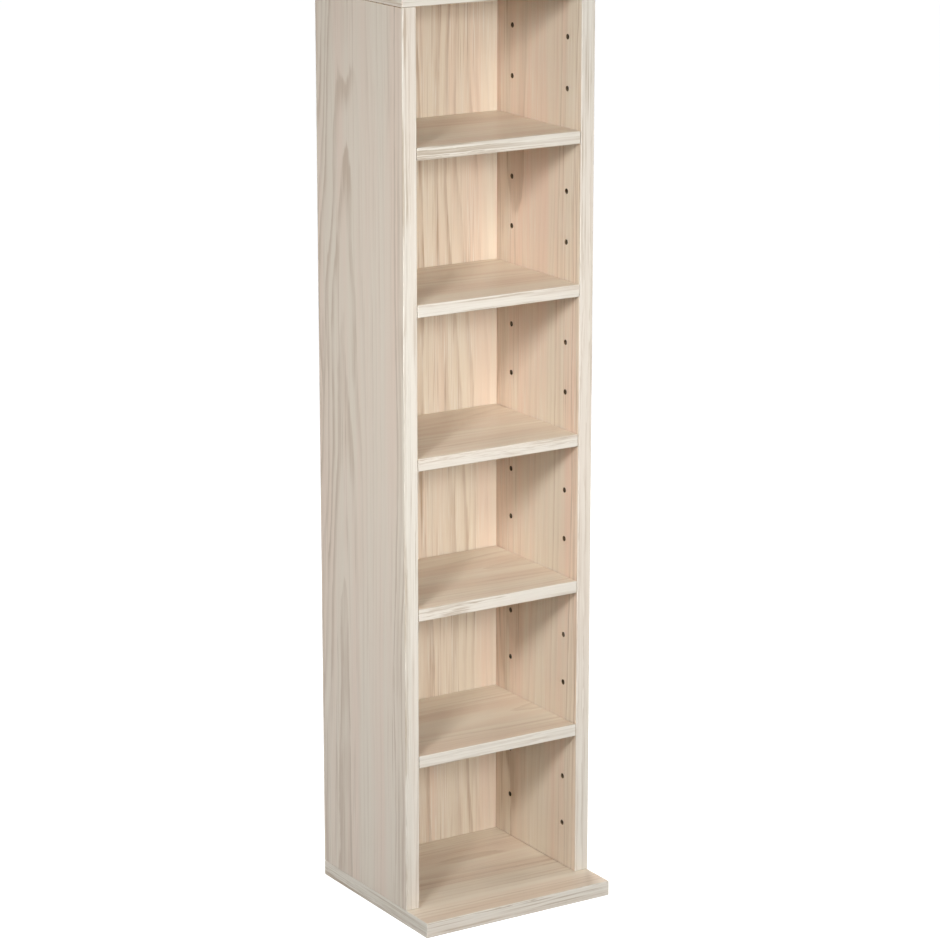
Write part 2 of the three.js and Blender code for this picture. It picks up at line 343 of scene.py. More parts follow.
def new_group(name, inputs, outputs):
    """An empty shader group with inputs, given by name and default, and float outputs."""
    group = bpy.data.node_groups.new(name, "ShaderNodeTree")
    group.interface.new_socket("Vector", in_out="INPUT", socket_type="NodeSocketVector")
    for key, value in inputs.items():
        kind = "NodeSocketVector" if isinstance(value, tuple) else "NodeSocketFloat"
        socket = group.interface.new_socket(key, in_out="INPUT", socket_type=kind)
        socket.default_value = value
    for key in outputs:
        group.interface.new_socket(key, in_out="OUTPUT", socket_type="NodeSocketFloat")
    given = group.nodes.new("NodeGroupInput").outputs
    result = group.nodes.new("NodeGroupOutput").inputs
    return group, given, result


def softwood_grain():
    """The decor's figure: growth rings round a pith that runs nearly along the board.

    The vector's X runs along the grain, Y across the board and Z into it. Pith is a point that
    the pith passes through, and the leans are how far it wanders across and into the board for
    its length. Between Calm From and Calm To, measured across the board from the pith, there is
    little figure. Least Crowd is how much is left of the fine lines where they are sparse. Rings
    is dark late wood, Streaks and Fibres are coarse and fine pale lines, and Drift is a broad
    change of tint."""
    group, given, result = new_group(
        "softwood_grain",
        {
            "Pith": (0.0, 0.0, 0.0),
            "Lean Across": 0.0,
            "Lean Into": 0.05,
            "Ring Width": 0.006,
            "Waviness": 0.01,
            "Calm From": 0.0,
            "Calm To": 0.0,
            "Least Crowd": 0.15,
            "Seed": 0.0,
        },
        ("Rings", "Streaks", "Fibres", "Drift"),
    )
    place, seed = given["Vector"], given["Seed"]

    def plus(first, second):
        return maths(group, "ADD", first, second)

    def minus(first, second):
        return maths(group, "SUBTRACT", first, second)

    def times(first, second):
        return maths(group, "MULTIPLY", first, second)

    def field(along, across, detail=2.0, roughness=0.5):
        """A noise with so many waves to the metre along the grain and across it."""
        scaled = stretched(group, place, (along, across, across), seed)
        return noise(group, scaled, detail, roughness).outputs[0]

    def swing(value, reach):
        """A noise centred on 0, spread over a reach in metres."""
        return times(minus(value, 0.5), reach)

    # Distance from the pith, with waves from broad to fine
    parts = add_node(
        group, "ShaderNodeSeparateXYZ", {0: vector_maths(group, "SUBTRACT", place, given["Pith"])}
    ).outputs
    sway = swing(field(3.2, 14.0, detail=1.5), given["Waviness"])
    ripple = swing(field(14.0, 90.0), 0.0030)
    ragged = swing(field(45.0, 900.0), 0.0022)
    across = minus(parts["Y"], times(parts["X"], given["Lean Across"]))
    across = plus(across, times(sway, 1.4))
    depth = minus(parts["Z"], times(parts["X"], given["Lean Into"]))
    depth = plus(depth, times(sway, 2.0))
    flat = add_node(group, "ShaderNodeCombineXYZ", {"X": across, "Y": depth}).outputs[0]
    radius = add_node(group, "ShaderNodeVectorMath", {0: flat}, operation="LENGTH").outputs["Value"]
    radius = plus(radius, plus(ripple, ragged))

    # Rings of uneven width, each with its own darkness, worn thin here and there
    turn = maths(group, "DIVIDE", radius, given["Ring Width"])
    uneven = add_node(
        group,
        "ShaderNodeTexNoise",
        {"W": turn, "Scale": 0.45, "Detail": 1.0, "Roughness": 0.6},
        noise_dimensions="1D",
    ).outputs[0]
    turn = plus(turn, times(uneven, 2.6))
    phase = maths(group, "FRACT", turn)
    late = times(remap(group, phase, 0.25, 0.85), remap(group, phase, 0.86, 1.0, 1.0, 0.0))
    ring = maths(group, "FLOOR", turn)
    own = add_node(group, "ShaderNodeTexWhiteNoise", {"W": ring}, noise_dimensions="1D").outputs["Value"]
    worn = field(8.0, 60.0)
    strokes = field(16.0, 800.0, roughness=0.6)
    for mask, low, high, least in (
        (own, 0.15, 0.90, 0.10),
        (worn, 0.36, 0.60, 0.35),
        (strokes, 0.34, 0.62, 0.45),
    ):
        late = times(late, remap(group, mask, low, high, least, 1.0))

    # Fine lines, crowded in places
    crowd = remap(group, field(2.2, 26.0, detail=1.0), 0.40, 0.60, given["Least Crowd"], 1.0)
    fine = times(remap(group, field(9.0, 520.0, roughness=0.55), 0.52, 0.74), crowd)
    rings = plus(times(late, 0.90), times(fine, 0.60))

    # The calm strip, which fades less outwards than inwards
    offset = plus(parts["Y"], sway)
    outwards, inwards = 0.006, 0.012
    begun = remap(group, minus(offset, given["Calm From"]), -outwards, inwards)
    ended = remap(group, minus(offset, given["Calm To"]), -inwards, outwards)
    calm = maths(group, "MAXIMUM", minus(begun, ended), 0.0)

    found = {
        "Rings": times(rings, minus(1.0, times(calm, 0.72))),
        "Streaks": times(remap(group, strokes, 0.50, 0.72), crowd),
        "Fibres": remap(group, field(22.0, 1500.0, detail=3.0, roughness=0.7), 0.40, 0.75),
        "Drift": remap(group, field(1.8, 38.0), 0.38, 0.68),
    }
    for key, value in found.items():
        group.links.new(value, result[key])
    return group


def board_chips():
    """Pressed wood chips, seen where a board is cut and has no band. Chips runs from dark to light."""
    group, given, result = new_group("board_chips", {"Chip Size": 0.0016}, ("Chips", "Relief"))
    bends, reach = 300.0, 0.0012
    warp = noise(group, stretched(group, given["Vector"], (bends, bends, bends), 0.0)).outputs["Color"]
    moved = vector_maths(group, "MULTIPLY", warp, (reach, reach, reach))
    place = vector_maths(group, "ADD", given["Vector"], moved)
    scale = maths(group, "DIVIDE", 1.0, given["Chip Size"])
    cells = add_node(group, "ShaderNodeTexVoronoi", {"Vector": place, "Scale": scale})
    tone = add_node(group, "ShaderNodeSeparateXYZ", {0: cells.outputs["Color"]}).outputs["X"]
    group.links.new(tone, result["Chips"])
    group.links.new(cells.outputs["Distance"], result["Relief"])
    return group


# Materials

def new_material(name):
    """A material with an empty tree, and its Principled shader."""
    material = bpy.data.materials.new(name)
    material.use_nodes = True
    tree = material.node_tree
    tree.nodes.clear()
    output = add_node(tree, "ShaderNodeOutputMaterial")
    shader = add_node(tree, "ShaderNodeBsdfPrincipled")
    tree.links.new(shader.outputs[0], output.inputs["Surface"])
    return material, tree, shader


def lay_on(tree, shader, colour, roughness, height, depth, strength):
    """Gives the shader its colour, its roughness and a bump from a height, `depth` deep."""
    tree.links.new(colour, shader.inputs["Base Color"])
    tree.links.new(roughness, shader.inputs["Roughness"])
    bump = add_node(tree, "ShaderNodeBump", {"Height": height, "Distance": depth, "Strength": strength})
    tree.links.new(bump.outputs[0], shader.inputs["Normal"])


def shaded(colour, share):
    """A colour made darker by a share below 1, or lighter by one above."""
    return tuple(min(1.0, share * value) for value in colour)


def object_place(tree):
    """The coordinates of the piece itself."""
    return add_node(tree, "ShaderNodeTexCoord").outputs["Object"]


def object_noise(tree, scale, seed, detail=2.0, roughness=0.5):
    """A soft noise from 0 to 1 over a piece."""
    return noise(tree, stretched(tree, object_place(tree), scale, seed), detail, roughness).outputs[0]


def grain_node(tree, axes, seed, pith, lean, ring_width, waviness, calm=(0.0, 0.0), least_crowd=0.15):
    """The softwood figure in a material. Axes names the piece's own axes in the grain's order:
    along it, across the board and into it, which is also the order of the pith's place."""
    parts = add_node(tree, "ShaderNodeSeparateXYZ", {0: object_place(tree)}).outputs
    order = {slot: parts[axis] for slot, axis in zip("XYZ", axes)}
    inputs = {
        "Vector": add_node(tree, "ShaderNodeCombineXYZ", order).outputs[0],
        "Pith": pith,
        "Lean Across": lean[0],
        "Lean Into": lean[1],
        "Ring Width": ring_width,
        "Waviness": waviness,
        "Calm From": calm[0],
        "Calm To": calm[1],
        "Least Crowd": least_crowd,
        "Seed": seed,
    }
    return add_node(
        tree, "ShaderNodeGroup", inputs, node_tree=bpy.data.node_groups["softwood_grain"]
    ).outputs


def decor_material(
    context,
    name,
    axes,
    seed,
    pith,
    lean,
    figure,
    calm=(0.0, 0.0),
    growth=1.0,
    wash=0.40,
    tint=0.70,
    shade=0.0,
    shade_veil=0.0,
):
    """Satin foil printed with softwood: more or less figure, faster or slower growth, more or less
    whitewash in its pores, broad drifts with a reddish tint and a brown shade, and an even grey of
    painted shade that greys and dulls it all, as on the outer faces."""
    colours = context.scene.tower_colours
    material, tree, shader = new_material(name)
    ring_width = context.scene.tower_sizes.ring_width * growth
    grain = grain_node(tree, axes, seed, pith, lean, ring_width, waviness=0.022, calm=calm)
    fibre_wash = 0.25
    colour = blend(tree, maths(tree, "MULTIPLY", grain["Drift"], tint), colours.cream, colours.rose)
    for mark, amount, paint_colour in (
        ("Drift", shade, colours.tan),
        ("Rings", figure, colours.tan),
        ("Streaks", wash, colours.wash),
        ("Fibres", fibre_wash, colours.wash),
    ):
        if amount:
            colour = blend(tree, maths(tree, "MULTIPLY", grain[mark], amount), colour, paint_colour)
    # Painted shade: the shade_veil blends one flat grey over the whole face
    if shade_veil:
        colour = blend(tree, shade_veil, colour, colours.shade_veil)
    roughness = remap(tree, grain["Fibres"], 0.0, 1.0, 0.30, 0.40)
    lay_on(tree, shader, colour, roughness, grain["Fibres"], depth=0.00012, strength=0.12)
    return material


def band_material(context, name, axes, seed, figure):
    """Edge band: a pale strip printed with straight lines along its length."""
    colours = context.scene.tower_colours
    material, tree, shader = new_material(name)
    grain = grain_node(
        tree,
        axes,
        seed,
        pith=(0.0, 0.35, 0.35),
        lean=(0.0, 0.006),
        ring_width=0.0021,
        waviness=0.004,
        least_crowd=0.60,
    )
    colour = colours.band
    for mark, amount, paint_colour in (
        ("Rings", figure, colours.band_line),
        ("Drift", 0.18, colours.rose),
        ("Fibres", 0.25, colours.wash),
    ):
        colour = blend(tree, maths(tree, "MULTIPLY", grain[mark], amount), colour, paint_colour)
    roughness = remap(tree, grain["Fibres"], 0.0, 1.0, 0.32, 0.42)
    lay_on(tree, shader, colour, roughness, grain["Fibres"], depth=0.00010, strength=0.12)
    return material


def chip_material(context, name, shade):
    """Raw chipboard, where a board's edge is cut. A shade below 1 darkens it, which gives the holes
    their painted shade.
    """
    colours = context.scene.tower_colours
    dark, light = shaded(colours.chip_dark, shade), shaded(colours.chip_light, shade)
    material, tree, shader = new_material(name)
    chips = add_node(
        tree,
        "ShaderNodeGroup",
        {"Vector": object_place(tree)},
        node_tree=bpy.data.node_groups["board_chips"],
    ).outputs
    colour = blend(tree, chips["Chips"], dark, light)
    roughness = remap(tree, chips["Chips"], 0.0, 1.0, 0.95, 0.80)
    lay_on(tree, shader, colour, roughness, chips["Relief"], depth=0.0004, strength=0.6)
    return material


def hardboard_material(context):
    """Raw rear face of thin hardboard: brown, speckled with fibres."""
    colour = context.scene.tower_colours.hardboard
    pale, dark = shaded(colour, 1.5), shaded(colour, 0.55)
    material, tree, shader = new_material("raw_hardboard")
    clouds = object_noise(tree, (16.0, 16.0, 16.0), 3.0, detail=3.0)
    hairs = object_noise(tree, (650.0, 650.0, 650.0), 5.0, detail=4.0, roughness=0.75)
    specks = object_noise(tree, (240.0, 240.0, 240.0), 9.0)
    for mask, low, high, most, paint_colour in (
        (clouds, 0.35, 0.70, 0.45, pale),
        (hairs, 0.45, 0.75, 0.55, pale),
        (specks, 0.62, 0.72, 0.75, dark),
    ):
        colour = blend(tree, remap(tree, mask, low, high, 0.0, most), colour, paint_colour)
    roughness = remap(tree, hairs, 0.3, 0.8, 0.62, 0.85)
    lay_on(tree, shader, colour, roughness, hairs, depth=0.0002, strength=0.5)
    return material


def metal_material(name, colour, rough, lay):
    """Plated steel with fine marks, stretched by `lay` along each axis."""
    material, tree, shader = new_material(name)
    marks = object_noise(tree, lay, 1.0, detail=3.0, roughness=0.6)
    tone = blend(tree, remap(tree, marks, 0.35, 0.8), colour, shaded(colour, 0.72))
    roughness = remap(tree, marks, 0.3, 0.7, rough, rough + 0.18)
    lay_on(tree, shader, tone, roughness, marks, depth=0.00003, strength=0.3)
    shader.inputs["Metallic"].default_value = 1.0
    return material


def beech_material(context):
    """Raw beech with its short dark flecks along the dowel."""
    colour = context.scene.tower_colours.beech
    material, tree, shader = new_material("raw_beech")
    flecks = object_noise(tree, (1800.0, 1800.0, 220.0), 2.0)
    tone = blend(tree, remap(tree, flecks, 0.55, 0.72), colour, shaded(colour, 0.6))
    roughness = remap(tree, flecks, 0.3, 0.7, 0.65, 0.8)
    lay_on(tree, shader, tone, roughness, flecks, depth=0.0001, strength=0.3)
    return material


def plastic_material(context):
    """Matt moulded plastic in the boards' colour."""
    colour = context.scene.tower_colours.plastic
    material, tree, shader = new_material("cover_plastic")
    spark = object_noise(tree, (3500.0, 3500.0, 3500.0), 4.0)
    tone = blend(tree, spark, colour, shaded(colour, 0.93))
    roughness = remap(tree, spark, 0.3, 0.7, 0.42, 0.55)
    lay_on(tree, shader, tone, roughness, spark, depth=0.00004, strength=0.3)
    return material


# Modelling

def select_only(piece):
    """Makes one object the selected and active one."""
    bpy.ops.object.select_all(action="DESELECT")
    piece.select_set(True)
    bpy.context.view_layer.objects.active = piece


def edit_all(piece):
    """Opens an object in edit mode with everything in it selected."""
    select_only(piece)
    bpy.ops.object.mode_set(mode="EDIT")
    bpy.ops.mesh.select_mode(type="VERT")
    bpy.ops.mesh.select_all(action="SELECT")


def settle(piece):
    """Puts an object's place and turn into its mesh."""
    select_only(piece)
    bpy.ops.object.transform_apply(location=True, rotation=True, scale=True)


def add_block(name, low, high):
    """A block between two corners."""
    bpy.ops.object.select_all(action="DESELECT")
    bpy.ops.mesh.primitive_cube_add(size=1, location=(Vector(low) + Vector(high)) / 2)
    piece = bpy.context.object
    piece.name = piece.data.name = name
    piece.scale = Vector(high) - Vector(low)
    settle(piece)
    return piece


def add_board(name, low, high, arris):
    """A board between two corners with all its edges eased."""
    piece = add_block(name, low, high)
    edit_all(piece)
    bpy.ops.mesh.bevel(offset=arris, segments=3, affect="EDGES")
    bpy.ops.object.mode_set(mode="OBJECT")
    return piece


def turned(name, outline, facets):
    """A closed body turned round the Z axis from (radius, height) points."""
    bpy.ops.object.select_all(action="DESELECT")
    bpy.ops.mesh.primitive_plane_add(size=0.001)
    piece = bpy.context.object
    piece.name = piece.data.name = name
    edit_all(piece)
    bpy.ops.mesh.merge(type="CENTER")
    place = Vector()
    for number, (radius, height) in enumerate(outline):
        point = Vector((radius, 0.0, height))
        if number:
            bpy.ops.mesh.extrude_vertices_move(TRANSFORM_OT_translate={"value": point - place})
        else:
            bpy.ops.transform.translate(value=point)
        place = point
    bpy.ops.mesh.select_all(action="SELECT")
    bpy.ops.mesh.spin(steps=facets, angle=math.tau, center=(0, 0, 0), axis=(0, 0, 1))
    bpy.ops.mesh.select_all(action="SELECT")
    bpy.ops.mesh.remove_doubles(threshold=1e-6)
    bpy.ops.mesh.dissolve_degenerate(threshold=1e-7)
    bpy.ops.mesh.select_all(action="SELECT")
    bpy.ops.mesh.normals_make_consistent(inside=False)
    bpy.ops.object.mode_set(mode="OBJECT")
    return piece


def repeat(piece, count, step):
    """Repeats an object along a step, as one mesh."""
    row = piece.modifiers.new("Row", "ARRAY")
    row.count = count
    row.use_relative_offset = False
    row.use_constant_offset = True
    row.constant_offset_displace = step
    select_only(piece)
    bpy.ops.object.modifier_apply(modifier=row.name)


def cut(piece, cutter):
    """Takes a cutter out of a piece and throws the cutter away."""
    hole = piece.modifiers.new("Cut", "BOOLEAN")
    hole.operation = "DIFFERENCE"
    hole.solver = "EXACT"
    hole.object = cutter
    select_only(piece)
    bpy.ops.object.modifier_apply(modifier=hole.name)
    bpy.data.objects.remove(cutter)


def smooth(piece, angle=35):
    """Rounds the shading of eased edges and keeps flat faces flat."""
    select_only(piece)
    bpy.ops.object.shade_smooth_by_angle(angle=math.radians(angle))
    weight = piece.modifiers.new("Weight", "WEIGHTED_NORMAL")
    weight.keep_sharp = True
    weight.weight = 100
    bpy.ops.object.modifier_apply(modifier=weight.name)


def paint(piece, materials, choose):
    """Gives a piece its materials, each face's by a function of its middle and normal."""
    piece.data.materials.clear()
    names = list(materials)
    for name in names:
        piece.data.materials.append(materials[name])
    for face in piece.data.polygons:
        face.material_index = names.index(choose(face.center, face.normal))


def dress(piece, node, body):
    """Hands a finished piece to the frame in place of its CAD node."""
    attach(piece, body)
    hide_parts(node)


def peg_height(sizes, index):
    """The height of a peg hole, counted from the lowest."""
    first = box("shelf_1")[0].z - sizes.seat_gap - (HOLES_PER_STEP - 1) * sizes.peg_pitch
    return first + index * sizes.peg_pitch


def pin_middle(side, column):
    """The place along the depth of a column of holes, from its lowest pin."""
    low, high = box(f"pin_shelf_1_{side}_{column}")
    return (low.y + high.y) / 2


def peg_cutter(sizes, side):
    """Cutters for both columns of peg holes in one side panel, with chamfered mouths."""
    mouth, overrun = sizes.peg_radius + sizes.peg_chamfer, 0.002
    outline = (
        (0, -sizes.peg_depth),
        (sizes.peg_radius, -sizes.peg_depth),
        (sizes.peg_radius, -sizes.peg_chamfer),
        (mouth, 0),
        (mouth, overrun),
        (0, overrun),
    )
    cutter = turned("peg_cutter", outline, facets=32)
    cutter.rotation_euler = (0, -SIDES[side] * math.pi / 2, 0)
    front, rear = (pin_middle(side, column) for column in COLUMNS)
    cutter.location = (SIDES[side] * INNER_X, front, peg_height(sizes, 0))
    settle(cutter)
    repeat(cutter, sizes.peg_count, (0, 0, sizes.peg_pitch))
    repeat(cutter, 2, (0, rear - front, 0))
    return cutter


def screw_cutter(end, low, high):
    """The countersunk hole of a screw that fills the given CAD box, its head outwards. Above a
    head in the top board it widens to take the cover."""
    play, overrun = FASTENER_PLAY, 0.003
    cover_low, cover_high = box("cap_left_front")
    head = (high.x - low.x) / 2 + play
    wide = head if end == "base" else (cover_high.x - cover_low.x) / 2 + play
    neck, core = SCREW_NECK_RADIUS + play, SCREW_CORE_RADIUS + play
    point, neck_end = low.z - high.z - play, -SCREW_NECK_END - play
    outline = (
        (0, point),
        (core, point),
        (core, neck_end),
        (neck, neck_end),
        (neck, -SCREW_HEAD_HEIGHT),
        (head, 0),
        (wide, 0),
        (wide, overrun),
        (0, overrun),
    )
    cutter = turned("screw_cutter", outline, facets=32)
    middle = (low + high) / 2
    cutter.rotation_euler = (0 if end == "top" else math.pi, 0, 0)
    cutter.location = (middle.x, middle.y, high.z if end == "top" else low.z)
    settle(cutter)
    return cutter


def dowel_cutter(low, high):
    """The hole of a dowel that fills the given CAD box."""
    radius, half = (high.x - low.x) / 2 + FASTENER_PLAY, (high.z - low.z) / 2 + FASTENER_PLAY
    outline = ((0, -half), (radius, -half), (radius, half), (0, half))
    cutter = turned("dowel_cutter", outline, facets=32)
    cutter.location = (low + high) / 2
    settle(cutter)
    return cutter


def fastener_cutters(end, side):
    """Cutters for the screws and dowels at one end of one side panel, from their CAD boxes."""
    cutters = []
    for column in COLUMNS:
        cutters.append(screw_cutter(end, *box(f"screw_{end}_{side}_{column}")))
        cutters.append(dowel_cutter(*box(f"dowel_{end}_{side}_{column}")))
    return cutters


def groove_cutter(sizes):
    """The space of the back panel's grooves."""
    play = Vector((sizes.groove_play,) * 3)
    return add_block("groove_cutter", BACK_LOW - play, BACK_HIGH + play)


def inside_board(low, high, middle, depth):
    """Whether a face's middle lies deeper in its board than a depth."""
    return all(low[i] + depth < middle[i] < high[i] - depth for i in range(3))


def is_cut(low, high, middle, sizes):
    """Whether a face belongs to a hole or a groove. The chamfer at a hole's mouth does too, its
    middle half as deep as the chamfer."""
    return inside_board(low, high, middle, 0.4 * sizes.peg_chamfer)


# Pieces

class TOWER_OT_finishes(bpy.types.Operator):
    """Builds the node groups and the raw finishes that the tower's pieces share"""

    bl_idname = "tower.finishes"
    bl_label = "Shared finishes"

    def execute(self, context):
        softwood_grain()
        board_chips()
        chip_material(context, "raw_chipboard", shade=1.0)
        # Painted shade: the same chipboard darkened to 0.30 for the walls deep in the holes
        chip_material(context, "painted_hole_shade_chipboard", shade=0.30)
        hardboard_material(context)
        return {"FINISHED"}


class TOWER_OT_side_panels(bpy.types.Operator):
    """Models the two side panels with their peg holes, grooves and edge bands"""

    bl_idname = "tower.side_panels"
    bl_label = "Side panels"

    def execute(self, context):
        sizes = context.scene.tower_sizes
        for side, sign in SIDES.items():
            name = f"side_panel_{side}"
            low, high = box(name)
            piece = add_board(f"{name}_board", low, high, sizes.arris)
            cut(piece, peg_cutter(sizes, side))
            cut(piece, groove_cutter(sizes))
            for end in ("top", "base"):
                for cutter in fastener_cutters(end, side):
                    cut(piece, cutter)
            outer, inner = (high.x, low.x) if sign > 0 else (low.x, high.x)
            materials = {
                "outer": decor_material(
                    context,
                    f"{name}_outer",
                    axes="ZYX",
                    seed=3.0 + sign,
                    pith=(FIGURE_HEIGHT, REAR_Y - 0.050, outer + sign * 0.034),
                    lean=(-0.030, sign * 0.055),
                    calm=(-0.085, -0.018),
                    figure=2.00,
                    # Painted shade on the outer faces: a grey over the print that dulls it against the
                    # inner faces
                    shade_veil=0.40,
                ),
                "inner": decor_material(
                    context,
                    f"{name}_inner",
                    axes="ZYX",
                    seed=7.0 + sign,
                    pith=(FIGURE_HEIGHT, BACK_LOW.y - 0.036, inner - sign * 0.028),
                    lean=(0.0, sign * 0.040),
                    calm=(-0.070, -0.010),
                    figure=1.12,
                    wash=0.60,
                    tint=0.95,
                ),
                "band": band_material(context, f"{name}_band", "ZXY", 11.0 + sign, figure=1.35),
                "raw": bpy.data.materials["raw_chipboard"],
                "painted_hole_shade": bpy.data.materials["painted_hole_shade_chipboard"],
            }

            def choose(middle, normal):
                if middle.y < low.y + sizes.arris:
                    return "band"
                # Faces deep inside the board are hole walls, painted darker as shade
                if inside_board(low, high, middle, sizes.arris):
                    return "painted_hole_shade"
                if abs(normal.y) > SQUARE_ON or abs(normal.z) > SQUARE_ON:
                    return "raw"
                if is_cut(low, high, middle, sizes):
                    return "raw"
                return "outer" if (middle.x - (low.x + high.x) / 2) * sign > 0 else "inner"

            paint(piece, materials, choose)
            smooth(piece)
            dress(piece, name, BODY)
        return {"FINISHED"}


class TOWER_OT_covering_boards(bpy.types.Operator):
    """Models the top board and the base board with their screw holes and edge bands"""

    bl_idname = "tower.covering_boards"
    bl_label = "Top and base boards"

    def execute(self, context):
        sizes = context.scene.tower_sizes
        for end, seed in (("top", 21.0), ("base", 25.0)):
            name = f"{end}_board"
            low, high = box(name)
            piece = add_board(f"{name}_board", low, high, sizes.arris)
            cut(piece, groove_cutter(sizes))
            for side in SIDES:
                for cutter in fastener_cutters(end, side):
                    cut(piece, cutter)
            materials = {
                "face": decor_material(
                    context,
                    f"{name}_face",
                    axes="XYZ",
                    seed=seed,
                    pith=(0.0, 0.020, high.z - 0.028),
                    lean=(0.0, 0.070),
                    figure=0.80,
                    tint=0.45,
                    shade=0.30,
                ),
                "band": band_material(context, f"{name}_band", "XZY", seed + 1, figure=2.1),
                "end": band_material(context, f"{name}_end", "YZX", seed + 2, figure=1.8),
                "raw": bpy.data.materials["raw_chipboard"],
            }

            def choose(middle, normal):
                if middle.y > high.y - sizes.arris / 2 and normal.y > SQUARE_ON:
                    return "raw"
                if middle.x < low.x + sizes.arris or middle.x > high.x - sizes.arris:
                    return "end"
                if middle.y < low.y + sizes.arris:
                    return "band"
                return "raw" if is_cut(low, high, middle, sizes) else "face"

            paint(piece, materials, choose)
            smooth(piece)
            dress(piece, name, BODY)
        return {"FINISHED"}


class TOWER_OT_back_panel(bpy.types.Operator):
    """Models the thin back panel, printed in front and raw behind"""

    bl_idname = "tower.back_panel"
    bl_label = "Back panel"

    def execute(self, context):
        piece = add_board("back_panel_sheet", BACK_LOW, BACK_HIGH, SHEET_ARRIS)
        materials = {
            "front": decor_material(
                context,
                "back_panel_front",
                axes="ZXY",
                seed=31.0,
                pith=(FIGURE_HEIGHT, -0.020, BACK_LOW.y - 0.014),
                lean=(-0.030, 0.008),
                calm=(0.085, 0.130),
                growth=1.5,
                figure=1.15,
                wash=0.80,
                tint=0.55,
            ),
            "rear": bpy.data.materials["raw_hardboard"],
        }
        paint(piece, materials, lambda middle, normal: "front" if normal.y < -SQUARE_ON else "rear")
        smooth(piece)
        dress(piece, "back_panel", BODY)
        return {"FINISHED"}


class TOWER_OT_shelves(bpy.types.Operator):
    """Models the five loose shelves with their front bands"""

    bl_idname = "tower.shelves"
    bl_label = "Shelves"

    def execute(self, context):
        sizes = context.scene.tower_sizes
        for number, (name, band_figure) in enumerate(zip(SHELVES, SHELF_BAND_FIGURES)):
            low, high = box(name)
            piece = add_board(f"{name}_board", low, high, sizes.arris)
            materials = {
                "face": decor_material(
                    context,
                    f"{name}_face",
                    axes="XYZ",
                    seed=41.0 + number,
                    pith=(0.0, 0.010 + 0.012 * number, high.z - 0.022 - 0.004 * number),
                    lean=(0.0, 0.080),
                    figure=0.55,
                    tint=0.45,
                    shade=0.28,
                ),
                "band": band_material(context, f"{name}_band", "XZY", 51.0 + number, band_figure),
                "raw": bpy.data.materials["raw_chipboard"],
            }

            def choose(middle, normal):
                if middle.y < low.y + sizes.arris:
                    return "band"
                return "raw" if abs(normal.x) > SQUARE_ON or normal.y > SQUARE_ON else "face"

            paint(piece, materials, choose)
            smooth(piece)
            dress(piece, name, name)
        return {"FINISHED"}


class TOWER_OT_shelf_pins(bpy.types.Operator):
    """Models one flat-milled shelf pin and copies it to every seat"""

    bl_idname = "tower.shelf_pins"
    bl_label = "Shelf pins"

    def execute(self, context):
        sizes = context.scene.tower_sizes
        colour = tuple(context.scene.tower_colours.nickel)
        nickel = metal_material("nickel_plate", colour, rough=0.22, lay=(300.0, 2600.0, 2600.0))
        low, high = box("pin_shelf_1_left_front")
        root, reach = low.x + INNER_X, high.x + INNER_X
        outline = (
            (0, root),
            (sizes.pin_radius - PIN_CHAMFER, root),
            (sizes.pin_radius, root + PIN_CHAMFER),
            (sizes.pin_radius, sizes.collar_start),
            (sizes.collar_radius - COLLAR_EDGE, sizes.collar_start),
            (sizes.collar_radius, sizes.collar_start + COLLAR_EDGE),
            (sizes.collar_radius, sizes.collar_end - COLLAR_EDGE),
            (sizes.collar_radius - COLLAR_EDGE, sizes.collar_end),
            (sizes.pin_radius, sizes.collar_end),
            (sizes.pin_radius, reach - PIN_CHAMFER),
            (sizes.pin_radius - PIN_CHAMFER, reach),
            (0, reach),
        )
        model = turned("pin_model", outline, facets=40)
        model.rotation_euler = (0, math.pi / 2, 0)
        settle(model)
        beyond = 0.01
        cut(model, add_block("pin_flat", (sizes.collar_start, -beyond, 0), (2 * beyond, beyond, beyond)))
        smooth(model, angle=25)
        model.data.materials.append(nickel)
        for shelf in SHELVES:
            level = box(shelf)[0].z - sizes.seat_gap
            for side, sign in SIDES.items():
                for column in COLUMNS:
                    node = f"pin_{shelf}_{side}_{column}"
                    select_only(model)
                    bpy.ops.object.duplicate(linked=False)
                    piece = bpy.context.object
                    piece.name = piece.data.name = f"{node}_pin"
                    piece.rotation_euler = (0, 0, math.pi if sign > 0 else 0)
                    piece.location = (sign * INNER_X, pin_middle(side, column), level)
                    settle(piece)
                    dress(piece, node, BODY)
        bpy.data.objects.remove(model)
        return {"FINISHED"}


class TOWER_OT_fasteners(bpy.types.Operator):
    """Models the screw covers and finishes the screws and dowels"""

    bl_idname = "tower.fasteners"
    bl_label = "Screws, covers and dowels"

    def execute(self, context):
        sizes = context.scene.tower_sizes
        colour = tuple(context.scene.tower_colours.zinc)
        zinc = metal_material("zinc_plate", colour, rough=0.32, lay=(2400.0, 2400.0, 500.0))
        beech, plastic = beech_material(context), plastic_material(context)
        shoulder = 0.3 * COVER_EDGE
        for side in SIDES:
            for column in COLUMNS:
                node = f"cap_{side}_{column}"
                low, high = box(node)
                middle = (low + high) / 2
                outline = (
                    (0, low.z - high.z),
                    (COVER_STEM_RADIUS, low.z - high.z),
                    (COVER_STEM_RADIUS, -COVER_THICKNESS),
                    (sizes.cap_radius, -COVER_THICKNESS),
                    (sizes.cap_radius, -COVER_EDGE),
                    (sizes.cap_radius - shoulder, -shoulder),
                    (sizes.cap_radius - COVER_EDGE, 0),
                    (0, 0),
                )
                piece = turned(f"{node}_cover", outline, facets=48)
                piece.location = (middle.x, middle.y, high.z)
                settle(piece)
                smooth(piece, angle=50)
                piece.data.materials.append(plastic)
                dress(piece, node, BODY)
        for node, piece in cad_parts.items():
            if node.startswith(("screw_", "dowel_")):
                piece.data.materials.clear()
                piece.data.materials.append(zinc if node.startswith("screw_") else beech)
        return {"FINISHED"}


# Stage

def direction(azimuth, elevation):
    """The direction out from the tower, round to the left of its front and up."""
    turn, lift = math.radians(azimuth), math.radians(elevation)
    return Vector((-math.sin(turn) * math.cos(lift), -math.cos(turn) * math.cos(lift), math.sin(lift)))


